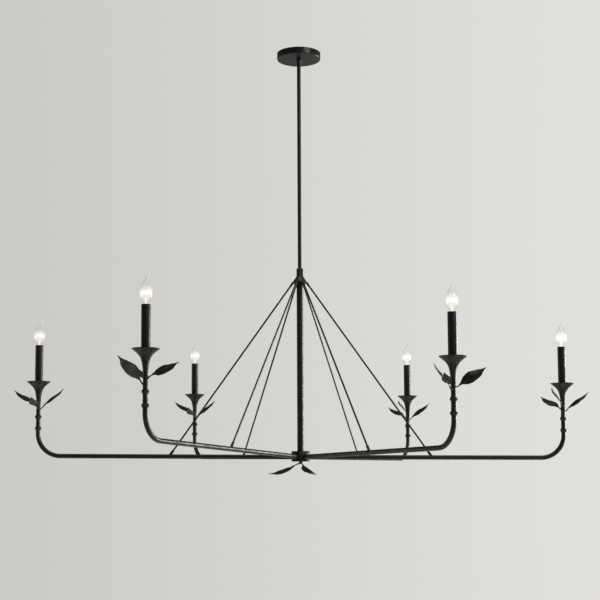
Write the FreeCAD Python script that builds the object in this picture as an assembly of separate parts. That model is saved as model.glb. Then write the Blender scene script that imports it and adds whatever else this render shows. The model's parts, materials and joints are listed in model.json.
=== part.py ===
import FreeCAD, Part
import math
import os

# Six-arm chandelier of black iron, hung from the ceiling on a rod.
# Frame: millimetres, +Z up, origin on the ceiling plane over the rod's axis.
# +X points along the right-hand arm and -Y towards the front of the room.

V = FreeCAD.Vector
UP = V(0, 0, 1)
FIT = 0.05                  # radial gap between a shaft and the bore it sits in

# ---- overall layout ----
ARM_Z = -1180.0             # height of the arms' axes where they meet over the hub's centre
REACH = 748.0               # from the rod's axis to each candle's axis
# each arm: (azimuth in degrees, how far its outer end stands above the hub)
ARMS = {
    "right": (0.0, -5.5),
    "back_right": (61.3, -3.3),
    "back_left": (118.7, 5.5),
    "left": (180.0, 7.0),
    "front_left": (241.3, 39.0),
    "front_right": (298.7, 17.5),
}

# ---- ceiling crossbar and swivel ----
BAR_LENGTH = 106.0
BAR_WIDTH = 22.0
BAR_THICK = 4.0
BAR_PAD_R = 20.0            # round pad at the bar's middle
SLOT_SPACING = 88.9         # outlet box screws
SLOT_R = 2.4
SLOT_LENGTH = 13.0
GROUND_SCREW_X = -27.0
GROUND_SCREW_R = 2.0
GROUND_HEAD_R = 4.2
GROUND_HEAD_HEIGHT = 2.6
DRIVER_SLOT_WIDTH = 0.9
DRIVER_SLOT_DEPTH = 1.0
FLANGE_R = 13.6
FLANGE_THICK = 1.8
FLANGE_DEEP = 0.2           # the socket's flange lies this far below the bar's top face
SWIVEL_CUP_R = 10.6
SWIVEL_CUP_BOTTOM_Z = -14.9
NECK_R = 5.9                # the cup's throat, which flares to let the rod lean
NECK_MOUTH_R = 6.6
NECK_DROP = 3.2             # from the ball's centre to the throat
NECK_FLARE = 4.0            # height of the flare
BALL_Z = -8.5
BALL_R = 6.5
RING_R = 7.6                # outside of the seat ring
RING_REACH = 55.0           # the ring comes down to this angle from the ball's lowest point, degrees
RING_TOP_DROP = 0.4
SHANK_R = 4.0
SHANK_BOTTOM_Z = -30.0
WIRE_BORE_R = 2.6

# ---- canopy ----
CANOPY_R = 63.5
CANOPY_HEIGHT = 19.0
CANOPY_SHEET = 1.5
CANOPY_EDGE_R = 2.5
CANOPY_HOLE_R = 6.4
LOCK_R = 7.2
LOCK_HEIGHT = 12.0
SET_SCREW_R = 1.5
HEX_SOCKET_R = 0.8
HEX_SOCKET_DEEP = 0.9
EDGE_BREAK = 0.8            # chamfer on turned edges

# ---- rod, collar and stem ----
ROD_R = 5.5
ROD_TOP_Z = -17.0
ROD_BOTTOM_Z = -658.0
COLLAR_TOP_Z = -639.0
COLLAR_R = 9.5
SKIRT_TOP_Z = -661.0
SKIRT_R = 20.5
SKIRT_EDGE_Z = -678.0
SKIRT_BOTTOM_Z = -681.5
SKIRT_WALL = 2.0
STEM_SEAT = 5.5             # how far the collar grips the stem below the stem's top
STEM_R = 9.5
STEM_BORE_R = 7.5
STEM_TOP_Z = -668.0

# ---- hub ----
HUB_R = 26.0
HUB_TOP_Z = -1163.0
HUB_BOTTOM_Z = -1189.5
HUB_WALL = 4.0
HUB_ROOF = 3.5
SPIGOT_HEIGHT = 12.0
HUB_WIRE_BORE_R = 3.0
COVER_THICK = 3.0
COVER_LIP = 2.5
COVER_LIP_WALL = 2.0
FINIAL_R = 5.0
FINIAL_HEIGHT = 6.5
FINIAL_ROUND = 3.0          # height of the finial's rounded foot
STUD_R = 3.0
STUD_ABOVE = 1.5            # the stud's end inside the hub, above the cover's seat

# ---- arms and what stands on them (heights above the arm's outer end) ----
ARM_R = 6.35
ARM_BORE_R = 5.05
ARM_START = 21.0            # the arm's inner end, inside the hub's wall
BEND_R = 65.0
RISER_TOP = 118.0
BEAD_HEIGHTS = (78.0, 110.7)
BEAD_R = 9.8
BEAD_HALF = 5.4             # half of a bead's height
BEAD_NECK = 1.2             # how far its necks stand off the tube
BEAD_NECK_HEIGHT = 1.6
BEAD_WAIST_HALF = 1.7
CUP_RIM = 212.2
CUP_RIM_R = 33.0
CUP_LIP = 1.2               # flat top of the rim
CUP_PAN_SLOPE = 7.0         # the pan's bottom starts this far in from the rim
# the trumpet's outside: (depth below the rim, radius)
CUP_FLANK = ((94.2, 6.2), (70.0, 6.0), (52.0, 6.6), (40.0, 7.9), (30.0, 9.8), (22.0, 12.6),
             (15.0, 17.2), (8.0, 24.8), (3.0, 31.0), (1.2, 33.0))
CUP_FLOOR = 3.2             # depth of the shallow pan inside the rim
SLEEVE_R = 11.2
SLEEVE_WALL = 0.8
SLEEVE_TOP = 315.8
SLEEVE_BEVEL = 0.6
SOCKET_R = 8.6
SOCKET_BORE_R = 6.3
SOCKET_TOP = 313.0
SOCKET_BORE_BOTTOM = 291.0
SOCKET_BOTTOM = 285.0
SOCKET_STEM_R = 4.6
WIRE_STOP = 3.0             # the arm's wire ends this far below the bulb's bore

# ---- bulbs (heights above the sleeve's top) ----
BASE_R = 6.0
BASE_BOTTOM = -24.0
BASE_TOP = -5.0
THREAD_PITCH = 2.54
THREAD_DEPTH = 0.45
CONTACT_R = 2.4
GLASS_WALL = 0.8
# the flame-shaped glass: (height, radius, sideways lean of its centre)
GLASS_RINGS = ((-4.9, 5.6, 0.0), (0.0, 6.3, 0.0), (7.0, 9.2, 0.0), (16.0, 13.8, 0.0), (26.0, 15.7, 0.0),
               (38.0, 13.9, 0.3), (50.0, 9.4, 0.9), (60.0, 5.2, 1.9), (68.0, 2.5, 3.4), (73.5, 0.9, 5.4))
FILAMENT_WIRE_R = 0.35
FILAMENT_FOOT = -3.0
FILAMENT_SHOULDER = 16.0
FILAMENT_TOP = 30.0
FILAMENT_SPREAD = 4.0       # half of the width at its shoulders
FILAMENT_FOOT_HALF = 1.5
FILAMENT_TOP_HALF = 1.6

# ---- support rods ----
SUPPORT_R = 2.5
SUPPORT_TOP_RADIUS = 20.5
SUPPORT_TOP_Z = -681.0
SUPPORT_FOOT_RADIUS = 374.0
NUT_R = 3.3
NUT_ABOVE = 3.5
NUT_BELOW = 11.0
NUT_ROUND = 0.9
FOOT_R = 3.7
FOOT_LENGTH = 21.0          # measured from the arm's axis
FOOT_FLOOR = 4.0            # the rod stops this far above the arm's top

# ---- leaves ----
LEAF_WIDTH = 26.0
LEAF_THICK = 1.4
LEAF_TIP_HALF = 0.45
PETIOLE_HALF = 1.6
PETIOLE_SHARE = 0.22        # part of the midrib that is bare stalk
LEAF_FOLD = 0.28            # how far the two halves rise from the midrib, per unit of half width
LEAF_STATIONS = (0.0, 0.1, 0.19, 0.25, 0.32, 0.42, 0.54, 0.66, 0.78, 0.88, 0.95, 1.0)
LEAF_ROOT_R = 3.6           # the stalks start inside the cup's stem and are trimmed to it
LEAF_KNEE = 0.40            # the midrib's control point, as a share of its reach
SPRAY_ARCH = 0.62           # the same point's share of the climb
# each leaf of a spray: (azimuth, root height, reach, tip height, twist of the blade in degrees)
SPRAYS = {
    "right": ((0, 126, 76, 186, -18), (120, 134, 97, 178, 14), (240, 146, 97, 195, 46)),
    "back_right": ((4, 126, 76, 186, -24), (129, 134, 97, 176, 12), (247, 148, 97, 191, 44)),
    "back_left": ((28, 126, 76, 192, -8), (141, 138, 97, 190, 8), (262, 132, 97, 163, 0)),
    "left": ((28, 128, 76, 193, -8), (148, 138, 97, 189, 8), (270, 132, 97, 163, 0)),
    "front_left": ((356, 141, 80, 179, -50), (236, 121, 97, 188, -36), (113, 134, 92, 176, 0)),
    "front_right": ((355, 133, 78, 184, -66), (236, 126, 97, 188, 44), (97, 134, 92, 180, 0)),
}
# the leaves under the hub: (azimuth, reach, drop of the tip below the cover, twist)
HUB_LEAVES = ((180, 92, 35, 24), (292, 92, 32, 0), (60, 92, 38, 0))
HUB_LEAF_ARCH = 0.66
HUB_LEAF_ROOT = (2.5, 3.2)  # distance from the axis, and drop below the cover

# ---- wiring ----
WIRE_R = 2.2
SUPPLY_TOP_Z = -4.0
SUPPLY_BOTTOM_Z = -1176.0
WIRE_START = 15.5
CONNECTOR_R = 4.0
CONNECTOR_RING_R = 10.5
CONNECTOR_LENGTH = 15.0
CONNECTOR_BOTTOM_Z = -1184.5
CONNECTOR_TAPER = 1.4
CONNECTOR_SKIRT = 3.0


def cylinder(radius, low, high, x=0.0, y=0.0):
    """Upright cylinder between two heights."""
    return Part.makeCylinder(radius, high - low, V(x, y, low))


def tube(outer, inner, low, high, x=0.0, y=0.0):
    """Upright tube between two heights."""
    return cylinder(outer, low, high, x, y).cut(cylinder(inner, low - 1, high + 1, x, y))


def rod_between(start, end, radius):
    """Cylinder from one point to another."""
    return Part.makeCylinder(radius, (end - start).Length, start, end - start)


def turned(points):
    """Solid turned about Z from a closed outline of (radius, height) points."""
    corners = [V(r, 0, z) for r, z in points]
    face = Part.Face(Part.makePolygon(corners + corners[:1]))
    return face.revolve(V(0, 0, 0), UP, 360)


def at_candle(shape, arm):
    """Move a shape that was made on the Z axis to an arm's candle axis."""
    azimuth, rise = ARMS[arm]
    angle = math.radians(azimuth)
    return shape.translated(V(REACH * math.cos(angle), REACH * math.sin(angle), ARM_Z + rise))


def about_z(shape, azimuth):
    """Turn a shape that was made over +X to another azimuth."""
    return shape.rotated(V(0, 0, 0), UP, azimuth)


def largest(shape):
    """The biggest solid of a shape, without the slivers that trimming leaves."""
    return max(shape.Solids, key=lambda solid: solid.Volume)


def on_every_candle(shape):
    """One copy of a shape on each candle axis."""
    return Part.makeCompound([at_candle(shape, arm) for arm in ARMS])


# ---------------------------------------------------------------- ceiling fixing

def crossbar():
    """Flat bar with a round middle, slots for the box screws and a stepped hole for the swivel."""
    bar = Part.makeBox(BAR_LENGTH, BAR_WIDTH, BAR_THICK, V(-BAR_LENGTH / 2, -BAR_WIDTH / 2, -BAR_THICK))
    bar = bar.fuse(cylinder(BAR_PAD_R, -BAR_THICK, 0)).removeSplitter()
    recess_low = -FLANGE_DEEP - FLANGE_THICK
    bar = bar.cut(cylinder(SWIVEL_CUP_R + FIT, -BAR_THICK - 1, 1))
    bar = bar.cut(cylinder(FLANGE_R + FIT, recess_low, 1))
    run = (SLOT_LENGTH - 2 * SLOT_R) / 2
    for side in (-1, 1):
        centre = side * SLOT_SPACING / 2
        slot = Part.makeBox(2 * run, 2 * SLOT_R, BAR_THICK + 2, V(centre - run, -SLOT_R, -BAR_THICK - 1))
        for end in (-run, run):
            slot = slot.fuse(cylinder(SLOT_R, -BAR_THICK - 1, 1, centre + end))
        bar = bar.cut(slot)
    return bar.cut(cylinder(GROUND_SCREW_R + FIT, -BAR_THICK - 1, 1, GROUND_SCREW_X))


def ground_screw():
    """Hexagonal slotted screw that enters the bar from below."""
    head_low = -BAR_THICK - GROUND_HEAD_HEIGHT
    corners = [V(GROUND_HEAD_R, 0, head_low)]
    for corner in range(1, 7):
        corners.append(about_z(Part.Vertex(corners[0]), 60 * corner).Point)
    head = Part.Face(Part.makePolygon(corners)).extrude(V(0, 0, GROUND_HEAD_HEIGHT))
    screw = head.fuse(cylinder(GROUND_SCREW_R, -BAR_THICK, -FLANGE_DEEP))
    slot = Part.makeBox(2.4 * GROUND_HEAD_R, DRIVER_SLOT_WIDTH, DRIVER_SLOT_DEPTH,
                        V(-1.2 * GROUND_HEAD_R, -DRIVER_SLOT_WIDTH / 2, head_low))
    return screw.cut(slot).translated(V(GROUND_SCREW_X, 0, 0))


def swivel_socket():
    """Open-topped cup that drops through the crossbar and hangs by its flange."""
    flange_top = -FLANGE_DEEP
    flange = cylinder(FLANGE_R, flange_top - FLANGE_THICK, flange_top)
    cup = cylinder(SWIVEL_CUP_R, SWIVEL_CUP_BOTTOM_Z, flange_top).fuse(flange)
    seat_r = RING_R + FIT
    inside = Part.makeSphere(seat_r, V(0, 0, BALL_Z)).fuse(cylinder(seat_r, BALL_Z, 1))
    neck_top = BALL_Z - NECK_DROP
    neck = Part.makeCone(NECK_R, NECK_MOUTH_R, NECK_FLARE, V(0, 0, neck_top), V(0, 0, -1))
    mouth = cylinder(NECK_MOUTH_R, SWIVEL_CUP_BOTTOM_Z - 1, neck_top - 0.7 * NECK_FLARE)
    return cup.cut(inside).cut(neck).cut(mouth).removeSplitter()


def swivel_ring():
    """Seat ring: the zone of a spherical shell that carries the ball."""
    shell = Part.makeSphere(RING_R, V(0, 0, BALL_Z)).cut(Part.makeSphere(BALL_R + FIT, V(0, 0, BALL_Z)))
    low = BALL_Z - RING_R * math.cos(math.radians(RING_REACH))
    return shell.common(cylinder(RING_R + 1, low, BALL_Z - RING_TOP_DROP))


def swivel_ball():
    """Ball with its threaded shank, bored for the wire."""
    ball = Part.makeSphere(BALL_R, V(0, 0, BALL_Z)).fuse(cylinder(SHANK_R, SHANK_BOTTOM_Z, BALL_Z))
    return ball.cut(cylinder(WIRE_BORE_R, SHANK_BOTTOM_Z - 1, 1))


# ---------------------------------------------------------------- canopy

def round_pan(radius, bottom, edge):
    """Solid drum from its rounded bottom edge up past the ceiling plane."""
    drum = cylinder(radius, bottom, 1)
    rim = [e for e in drum.Edges if e.BoundBox.ZMax < bottom + 0.01]
    return drum.makeFillet(edge, rim)


def canopy():
    outer = round_pan(CANOPY_R, -CANOPY_HEIGHT, CANOPY_EDGE_R)
    inner = round_pan(CANOPY_R - CANOPY_SHEET, CANOPY_SHEET - CANOPY_HEIGHT, CANOPY_EDGE_R - CANOPY_SHEET)
    above = cylinder(2 * CANOPY_R, 0, 2)
    return outer.cut(inner).cut(above).cut(cylinder(CANOPY_HOLE_R, -CANOPY_HEIGHT - 1, 1))


def canopy_collar():
    """Ring under the canopy that grips the rod by a set screw."""
    top = -CANOPY_HEIGHT
    bore = ROD_R + FIT
    low = top - LOCK_HEIGHT
    ring = turned([(bore, top), (LOCK_R, top), (LOCK_R, low + EDGE_BREAK),
                   (LOCK_R - EDGE_BREAK, low), (bore, low)])
    hole = Part.makeCylinder(SET_SCREW_R + FIT, LOCK_R + 1, V(0, 0, top - LOCK_HEIGHT / 2), V(0, 1, 0))
    return ring.cut(hole)


def canopy_set_screw():
    height = -CANOPY_HEIGHT - LOCK_HEIGHT / 2
    start = ROD_R + FIT
    screw = Part.makeCylinder(SET_SCREW_R, LOCK_R - start - 2 * FIT, V(0, start, height), V(0, 1, 0))
    socket = Part.makeCylinder(HEX_SOCKET_R, 1.0, V(0, LOCK_R - HEX_SOCKET_DEEP, height), V(0, 1, 0))
    return screw.cut(socket)


# ---------------------------------------------------------------- rod, collar and stem

def downrod():
    return tube(ROD_R, SHANK_R + FIT, ROD_BOTTOM_Z, ROD_TOP_Z)


def top_collar():
    """Cone-skirted collar that joins the rod to the stem and holds the support rods' nuts."""
    rod_bore = ROD_R + FIT
    stem_bore = STEM_R + FIT
    seat_low = STEM_TOP_Z - STEM_SEAT
    inner_r = SKIRT_R - SKIRT_WALL
    outline = [(rod_bore, COLLAR_TOP_Z), (COLLAR_R - EDGE_BREAK, COLLAR_TOP_Z),
               (COLLAR_R, COLLAR_TOP_Z - EDGE_BREAK), (COLLAR_R, SKIRT_TOP_Z),
               (SKIRT_R, SKIRT_EDGE_Z), (SKIRT_R, SKIRT_BOTTOM_Z),
               (inner_r, SKIRT_BOTTOM_Z), (inner_r, SKIRT_EDGE_Z - EDGE_BREAK),
               (inner_r - 2 * SKIRT_WALL, seat_low), (stem_bore, seat_low), (stem_bore, STEM_TOP_Z),
               (rod_bore, STEM_TOP_Z)]
    collar = turned(outline)
    for arm in ARMS:
        start, end = support_line(arm)
        axis = (end - start).normalize()
        pocket = rod_between(start - axis * (NUT_ABOVE + FIT), start + axis * (NUT_BELOW + FIT), NUT_R + FIT)
        collar = collar.cut(pocket)
    return collar


def lower_stem():
    return tube(STEM_R, STEM_BORE_R, HUB_TOP_Z, STEM_TOP_Z)


# ---------------------------------------------------------------- hub

def hub():
    """Hollow drum open below, with a spigot for the stem and six sockets for the arms."""
    spigot_top = HUB_TOP_Z + SPIGOT_HEIGHT
    body = cylinder(HUB_R, HUB_BOTTOM_Z, HUB_TOP_Z)
    edges = [e for e in body.Edges if e.BoundBox.ZMin > HUB_TOP_Z - 0.01]
    body = body.makeChamfer(EDGE_BREAK, edges)
    body = body.fuse(cylinder(STEM_BORE_R - FIT, HUB_TOP_Z - 1, spigot_top))
    body = body.cut(cylinder(HUB_R - HUB_WALL, HUB_BOTTOM_Z - 1, HUB_TOP_Z - HUB_ROOF))
    body = body.cut(cylinder(HUB_WIRE_BORE_R, HUB_TOP_Z - 2 * HUB_ROOF, spigot_top + 1))
    for azimuth, rise in ARMS.values():
        start, end = [V(r, 0, ARM_Z + r * rise / REACH) for r in (ARM_START - HUB_WALL, HUB_R + HUB_WALL)]
        body = body.cut(about_z(rod_between(start, end, ARM_R + FIT), azimuth))
    return body


def hub_cover():
    """Plate under the hub with a lip that stands inside the hub's wall."""
    top = HUB_BOTTOM_Z
    low = top - COVER_THICK
    bore = STUD_R + FIT
    lip_r = HUB_R - HUB_WALL - FIT
    lip_inner_r = lip_r - COVER_LIP_WALL
    return turned([(bore, top), (lip_inner_r, top), (lip_inner_r, top + COVER_LIP),
                   (lip_r, top + COVER_LIP), (lip_r, top), (HUB_R, top), (HUB_R, low + EDGE_BREAK),
                   (HUB_R - EDGE_BREAK, low), (bore, low)])


def hub_finial():
    """Round nut under the cover on the stud that passes through it."""
    top = HUB_BOTTOM_Z - COVER_THICK
    low = top - FINIAL_HEIGHT
    stud_top = HUB_BOTTOM_Z + STUD_ABOVE
    outline = [(0, stud_top), (STUD_R, stud_top), (STUD_R, top), (FINIAL_R, top)]
    for degrees in (0, 30, 60, 90):
        angle = math.radians(degrees)
        inset = FINIAL_ROUND * (1 - math.cos(angle))
        outline.append((FINIAL_R - inset, low + FINIAL_ROUND * (1 - math.sin(angle))))
    return turned(outline + [(0, low)])


# ---------------------------------------------------------------- arms

def arm_path(rise, start, top):
    """Centre line of an arm over +X: out along its slope, round the bend, and up to the given height."""
    slope = math.atan2(rise, REACH)
    setback = BEND_R * math.tan((math.pi / 2 - slope) / 2)
    corner = V(REACH, 0, ARM_Z + rise)
    bend_start = corner - V(math.cos(slope), 0, math.sin(slope)) * setback
    bend_end = corner + UP * setback
    centre = bend_end - V(BEND_R, 0, 0)
    half = (slope - math.pi / 2) / 2
    bend_middle = centre + V(math.cos(half), 0, math.sin(half)) * BEND_R
    first = V(start, 0, ARM_Z + start * math.tan(slope))
    last = V(REACH, 0, ARM_Z + rise + top)
    return Part.Wire([Part.LineSegment(first, bend_start).toShape(),
                      Part.Arc(bend_start, bend_middle, bend_end).toShape(),
                      Part.LineSegment(bend_end, last).toShape()])


def swept(path, radius):
    """Round bar along a wire that starts over +X."""
    edge = path.Edges[0]
    direction = edge.tangentAt(edge.FirstParameter)
    section = Part.Wire(Part.makeCircle(radius, edge.valueAt(edge.FirstParameter), direction))
    return path.makePipeShell([section], True, True)


def arm(name):
    """Bent tube from the hub to the foot of the drip cup."""
    azimuth, rise = ARMS[name]
    path = arm_path(rise, ARM_START, RISER_TOP)
    return about_z(swept(path, ARM_R).cut(swept(path, ARM_BORE_R)), azimuth)


def arm_wires():
    """A wire through each arm, from the hub up to the lamp socket."""
    wires = []
    for azimuth, rise in ARMS.values():
        path = arm_path(rise, WIRE_START, SOCKET_BORE_BOTTOM - WIRE_STOP)
        wires.append(about_z(swept(path, WIRE_R), azimuth))
    return Part.makeCompound(wires)


def bead(height):
    """Turned ring with a pointed waist and a small neck above and below."""
    bore = ARM_R + FIT
    neck_r = ARM_R + BEAD_NECK
    waist_r = BEAD_R - EDGE_BREAK
    half = [(neck_r - 0.3, BEAD_HALF), (neck_r, BEAD_HALF - BEAD_NECK_HEIGHT), (waist_r, BEAD_WAIST_HALF)]
    upper = [(r, height + z) for r, z in half]
    lower = [(r, height - z) for r, z in reversed(half)]
    outline = [(bore, height + BEAD_HALF)] + upper + [(BEAD_R, height)] + lower + [(bore, height - BEAD_HALF)]
    return turned(outline)


def stem_beads():
    return Part.makeCompound([at_candle(bead(height), name) for name in ARMS for height in BEAD_HEIGHTS])


# ---------------------------------------------------------------- candles

def cup_at_origin():
    """Trumpet-shaped drip cup with a shallow pan, bored for the wire."""
    flank = [V(r, 0, CUP_RIM - depth) for depth, r in CUP_FLANK]
    curve = Part.BSplineCurve()
    curve.interpolate(flank)
    foot = V(WIRE_BORE_R, 0, flank[0].z)
    floor = CUP_RIM - CUP_FLOOR
    inner = [V(CUP_RIM_R, 0, CUP_RIM), V(CUP_RIM_R - CUP_LIP, 0, CUP_RIM),
             V(CUP_RIM_R - CUP_PAN_SLOPE, 0, floor), V(WIRE_BORE_R, 0, floor), foot]
    edges = [Part.LineSegment(foot, flank[0]).toShape(), curve.toShape()]
    corners = [flank[-1]] + inner
    edges += [Part.LineSegment(a, b).toShape() for a, b in zip(corners, corners[1:])]
    return Part.Face(Part.Wire(edges)).revolve(V(0, 0, 0), UP, 360)


def sleeve_at_origin():
    """Candle tube that stands in the cup's pan and hides the socket."""
    low = CUP_RIM - CUP_FLOOR
    inner = SLEEVE_R - SLEEVE_WALL
    return turned([(inner, low), (SLEEVE_R, low), (SLEEVE_R, SLEEVE_TOP - SLEEVE_BEVEL),
                   (SLEEVE_R - SLEEVE_BEVEL, SLEEVE_TOP), (inner, SLEEVE_TOP)])


def socket_at_origin():
    """Candelabra lamp socket on its stem, with a bore for the bulb's base."""
    low = CUP_RIM - CUP_FLOOR
    return turned([(WIRE_BORE_R, low), (SOCKET_STEM_R, low), (SOCKET_STEM_R, SOCKET_BOTTOM),
                   (SOCKET_R, SOCKET_BOTTOM), (SOCKET_R, SOCKET_TOP), (SOCKET_BORE_R, SOCKET_TOP),
                   (SOCKET_BORE_R, SOCKET_BORE_BOTTOM), (WIRE_BORE_R, SOCKET_BORE_BOTTOM)])


def bulb_base_at_origin():
    """Screw shell with rounded thread ridges and a contact at its foot."""
    low = SLEEVE_TOP + BASE_BOTTOM
    high = SLEEVE_TOP + BASE_TOP
    root_r = BASE_R - THREAD_DEPTH
    points = [(0, low), (CONTACT_R, low), (CONTACT_R + 0.4, low + 1.4),
              (root_r - 1, low + 3), (root_r, low + 4)]
    z = low + 4.6
    while z + THREAD_PITCH < high - THREAD_PITCH / 2:
        points += [(BASE_R, z + 0.35 * THREAD_PITCH), (BASE_R, z + 0.55 * THREAD_PITCH),
                   (root_r, z + 0.9 * THREAD_PITCH)]
        z += THREAD_PITCH
    points += [(BASE_R, high - EDGE_BREAK), (BASE_R, high), (0, high)]
    return turned(points)


def glass_skin(inset):
    """The flame's outer form, or its inside when given an inset."""
    rings = []
    for height, radius, lean in GLASS_RINGS:
        if radius - inset > 0.3:
            centre = V(lean, 0, SLEEVE_TOP + height)
            rings.append(Part.Wire(Part.makeCircle(radius - inset, centre, UP)))
    return Part.makeLoft(rings, True, False)


def bulb_glass_at_origin():
    """Hollow glass, closed at its foot by a floor as thick as its wall."""
    foot = SLEEVE_TOP + GLASS_RINGS[0][0]
    floor = cylinder(BASE_R, foot - 1, foot + GLASS_WALL)
    return glass_skin(0.0).cut(glass_skin(GLASS_WALL).cut(floor))


def filament_at_origin():
    """Two lead wires and the arched filament between them."""
    foot = SLEEVE_TOP + FILAMENT_FOOT
    shoulder = SLEEVE_TOP + FILAMENT_SHOULDER
    top = SLEEVE_TOP + FILAMENT_TOP
    right = [V(FILAMENT_TOP_HALF, 0, top), V(FILAMENT_SPREAD, 0, shoulder), V(FILAMENT_FOOT_HALF, 0, foot)]
    route = [V(-point.x, 0, point.z) for point in reversed(right)] + right
    wire = Part.makeSphere(FILAMENT_WIRE_R, route[0])
    for start, end in zip(route, route[1:]):
        wire = wire.fuse([rod_between(start, end, FILAMENT_WIRE_R), Part.makeSphere(FILAMENT_WIRE_R, end)])
    return wire


# ---------------------------------------------------------------- support rods

def support_line(name):
    """The rod's two ends: under the collar's skirt, and on the arm's axis."""
    azimuth, rise = ARMS[name]
    angle = math.radians(azimuth)
    outward = V(math.cos(angle), math.sin(angle), 0)
    top = outward * SUPPORT_TOP_RADIUS + UP * SUPPORT_TOP_Z
    foot = outward * SUPPORT_FOOT_RADIUS + UP * (ARM_Z + rise * SUPPORT_FOOT_RADIUS / REACH)
    return top, foot


def support_rod(name):
    """Slim straight rod from the collar's skirt down to the middle of an arm."""
    top, foot = support_line(name)
    axis = (foot - top).normalize()
    return rod_between(top, foot - axis * (ARM_R + FOOT_FLOOR), SUPPORT_R)


def support_rod_nuts():
    """Round-ended barrel nuts that stand in the skirt's pockets and hold the rods' upper ends."""
    nuts = []
    for name in ARMS:
        top, foot = support_line(name)
        axis = (foot - top).normalize()
        nut = rod_between(top - axis * NUT_ABOVE, top + axis * NUT_BELOW, NUT_R)
        nut = nut.makeFillet(NUT_ROUND, [e for e in nut.Edges if e.Closed])
        bore = rod_between(top - axis * FIT, top + axis * (2 * NUT_BELOW), SUPPORT_R + FIT)
        nuts.append(nut.cut(bore))
    return Part.makeCompound(nuts)


def support_rod_feet():
    """Saddle sockets on the arms' tops that hold the rods' lower ends."""
    feet = []
    for name in ARMS:
        azimuth, rise = ARMS[name]
        top, foot = support_line(name)
        axis = (foot - top).normalize()
        body = rod_between(foot, foot - axis * FOOT_LENGTH, FOOT_R)
        run = about_z(Part.Vertex(REACH, 0, rise), azimuth).Point.normalize() * (2 * FOOT_LENGTH)
        body = body.cut(rod_between(foot - run, foot + run, ARM_R + FIT / 2))
        body = body.cut(rod_between(top, foot - axis * (ARM_R + FOOT_FLOOR - FIT), SUPPORT_R + FIT))
        feet.append(largest(body))
    return Part.makeCompound(feet)


# ---------------------------------------------------------------- leaves

def half_width(share):
    """Half of the leaf's width at a share of its midrib: bare stalk, then a pointed oval blade."""
    if share <= PETIOLE_SHARE:
        return PETIOLE_HALF
    along = (share - PETIOLE_SHARE) / (1 - PETIOLE_SHARE)
    blade = LEAF_WIDTH / 2 * max(0.0, math.sin(math.pi * along ** 0.8)) ** 0.9
    stalk = PETIOLE_HALF * (1 - along)
    return max(blade, stalk, LEAF_TIP_HALF)


def leaf_section(centre, side, face, half, share):
    """Closed outline across the leaf: a folded blade, or the thicker stalk near the root."""
    blade_share = min(1.0, max(0.0, (half - PETIOLE_HALF) / 4))
    thick = LEAF_THICK + (2 * PETIOLE_HALF - LEAF_THICK) * (1 - blade_share) * (1 - share)
    edge_thick = thick * (0.75 - 0.2 * blade_share)
    fold = LEAF_FOLD * blade_share
    across = [(-1.0, edge_thick), (-0.5, thick), (0.0, thick), (0.5, thick), (1.0, edge_thick)]
    upper = [centre + side * (half * s) + face * (fold * half * abs(s) + t / 2) for s, t in across]
    lower = [centre + side * (half * s) + face * (fold * half * abs(s) - t / 2) for s, t in reversed(across)]
    return Part.makePolygon(upper + lower + upper[:1])


def leaf(azimuth, root, tip, twist, arch):
    """Leaf whose midrib runs from root to tip, both given as (distance from the axis, height)."""
    angle = math.radians(azimuth)
    outward = V(math.cos(angle), math.sin(angle), 0)
    across = V(-math.sin(angle), math.cos(angle), 0)
    knee = (root[0] + LEAF_KNEE * (tip[0] - root[0]), root[1] + arch * (tip[1] - root[1]))
    sections = []
    for share in LEAF_STATIONS:
        a, b, c = (1 - share) ** 2, 2 * share * (1 - share), share ** 2
        distance = a * root[0] + b * knee[0] + c * tip[0]
        height = a * root[1] + b * knee[1] + c * tip[1]
        centre = outward * distance + UP * height
        run = (1 - share) * (knee[0] - root[0]) + share * (tip[0] - knee[0])
        climb = (1 - share) * (knee[1] - root[1]) + share * (tip[1] - knee[1])
        along = (outward * run + UP * climb).normalize()
        normal = along.cross(across) * -1.0
        turn = math.radians(twist) * min(1.0, share / PETIOLE_SHARE)
        side = across * math.cos(turn) + normal * math.sin(turn)
        face = normal * math.cos(turn) - across * math.sin(turn)
        sections.append(leaf_section(centre, side, face, half_width(share), share))
    return Part.makeLoft(sections, True, False)


def leaf_spray(name):
    """Three leaves welded round the cup's stem."""
    cup = cup_at_origin()
    leaves = []
    for azimuth, root, reach, tip, twist in SPRAYS[name]:
        blade = leaf(azimuth, (LEAF_ROOT_R, root), (reach, tip), twist, SPRAY_ARCH)
        leaves.append(largest(blade.cut(cup)))
    return at_candle(Part.makeCompound(leaves), name)


def hub_leaves():
    """Three leaves that hang from the finial under the hub."""
    cover_low = HUB_BOTTOM_Z - COVER_THICK
    root_r, root_drop = HUB_LEAF_ROOT
    leaves = []
    for azimuth, reach, drop, twist in HUB_LEAVES:
        root = (root_r, cover_low - root_drop)
        tip = (reach, cover_low - drop)
        blade = leaf(azimuth, root, tip, twist, HUB_LEAF_ARCH)
        leaves.append(largest(blade.cut(hub_finial()).cut(hub_cover())))
    return Part.makeCompound(leaves)


# ---------------------------------------------------------------- wiring

def supply_wire():
    return cylinder(WIRE_R, SUPPLY_BOTTOM_Z, SUPPLY_TOP_Z)


def wire_connectors():
    """Three twist-on connectors standing in the hub's wiring space."""
    low = CONNECTOR_BOTTOM_Z
    high = low + CONNECTOR_LENGTH
    top_r = CONNECTOR_R - CONNECTOR_TAPER
    cone = turned([(0, high), (top_r, high), (CONNECTOR_R, low + CONNECTOR_SKIRT),
                   (CONNECTOR_R, low), (0, low)])
    cone.translate(V(CONNECTOR_RING_R, 0, 0))
    return Part.makeCompound([about_z(cone, azimuth) for azimuth in (30, 150, 270)])


# ---------------------------------------------------------------- output

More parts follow.
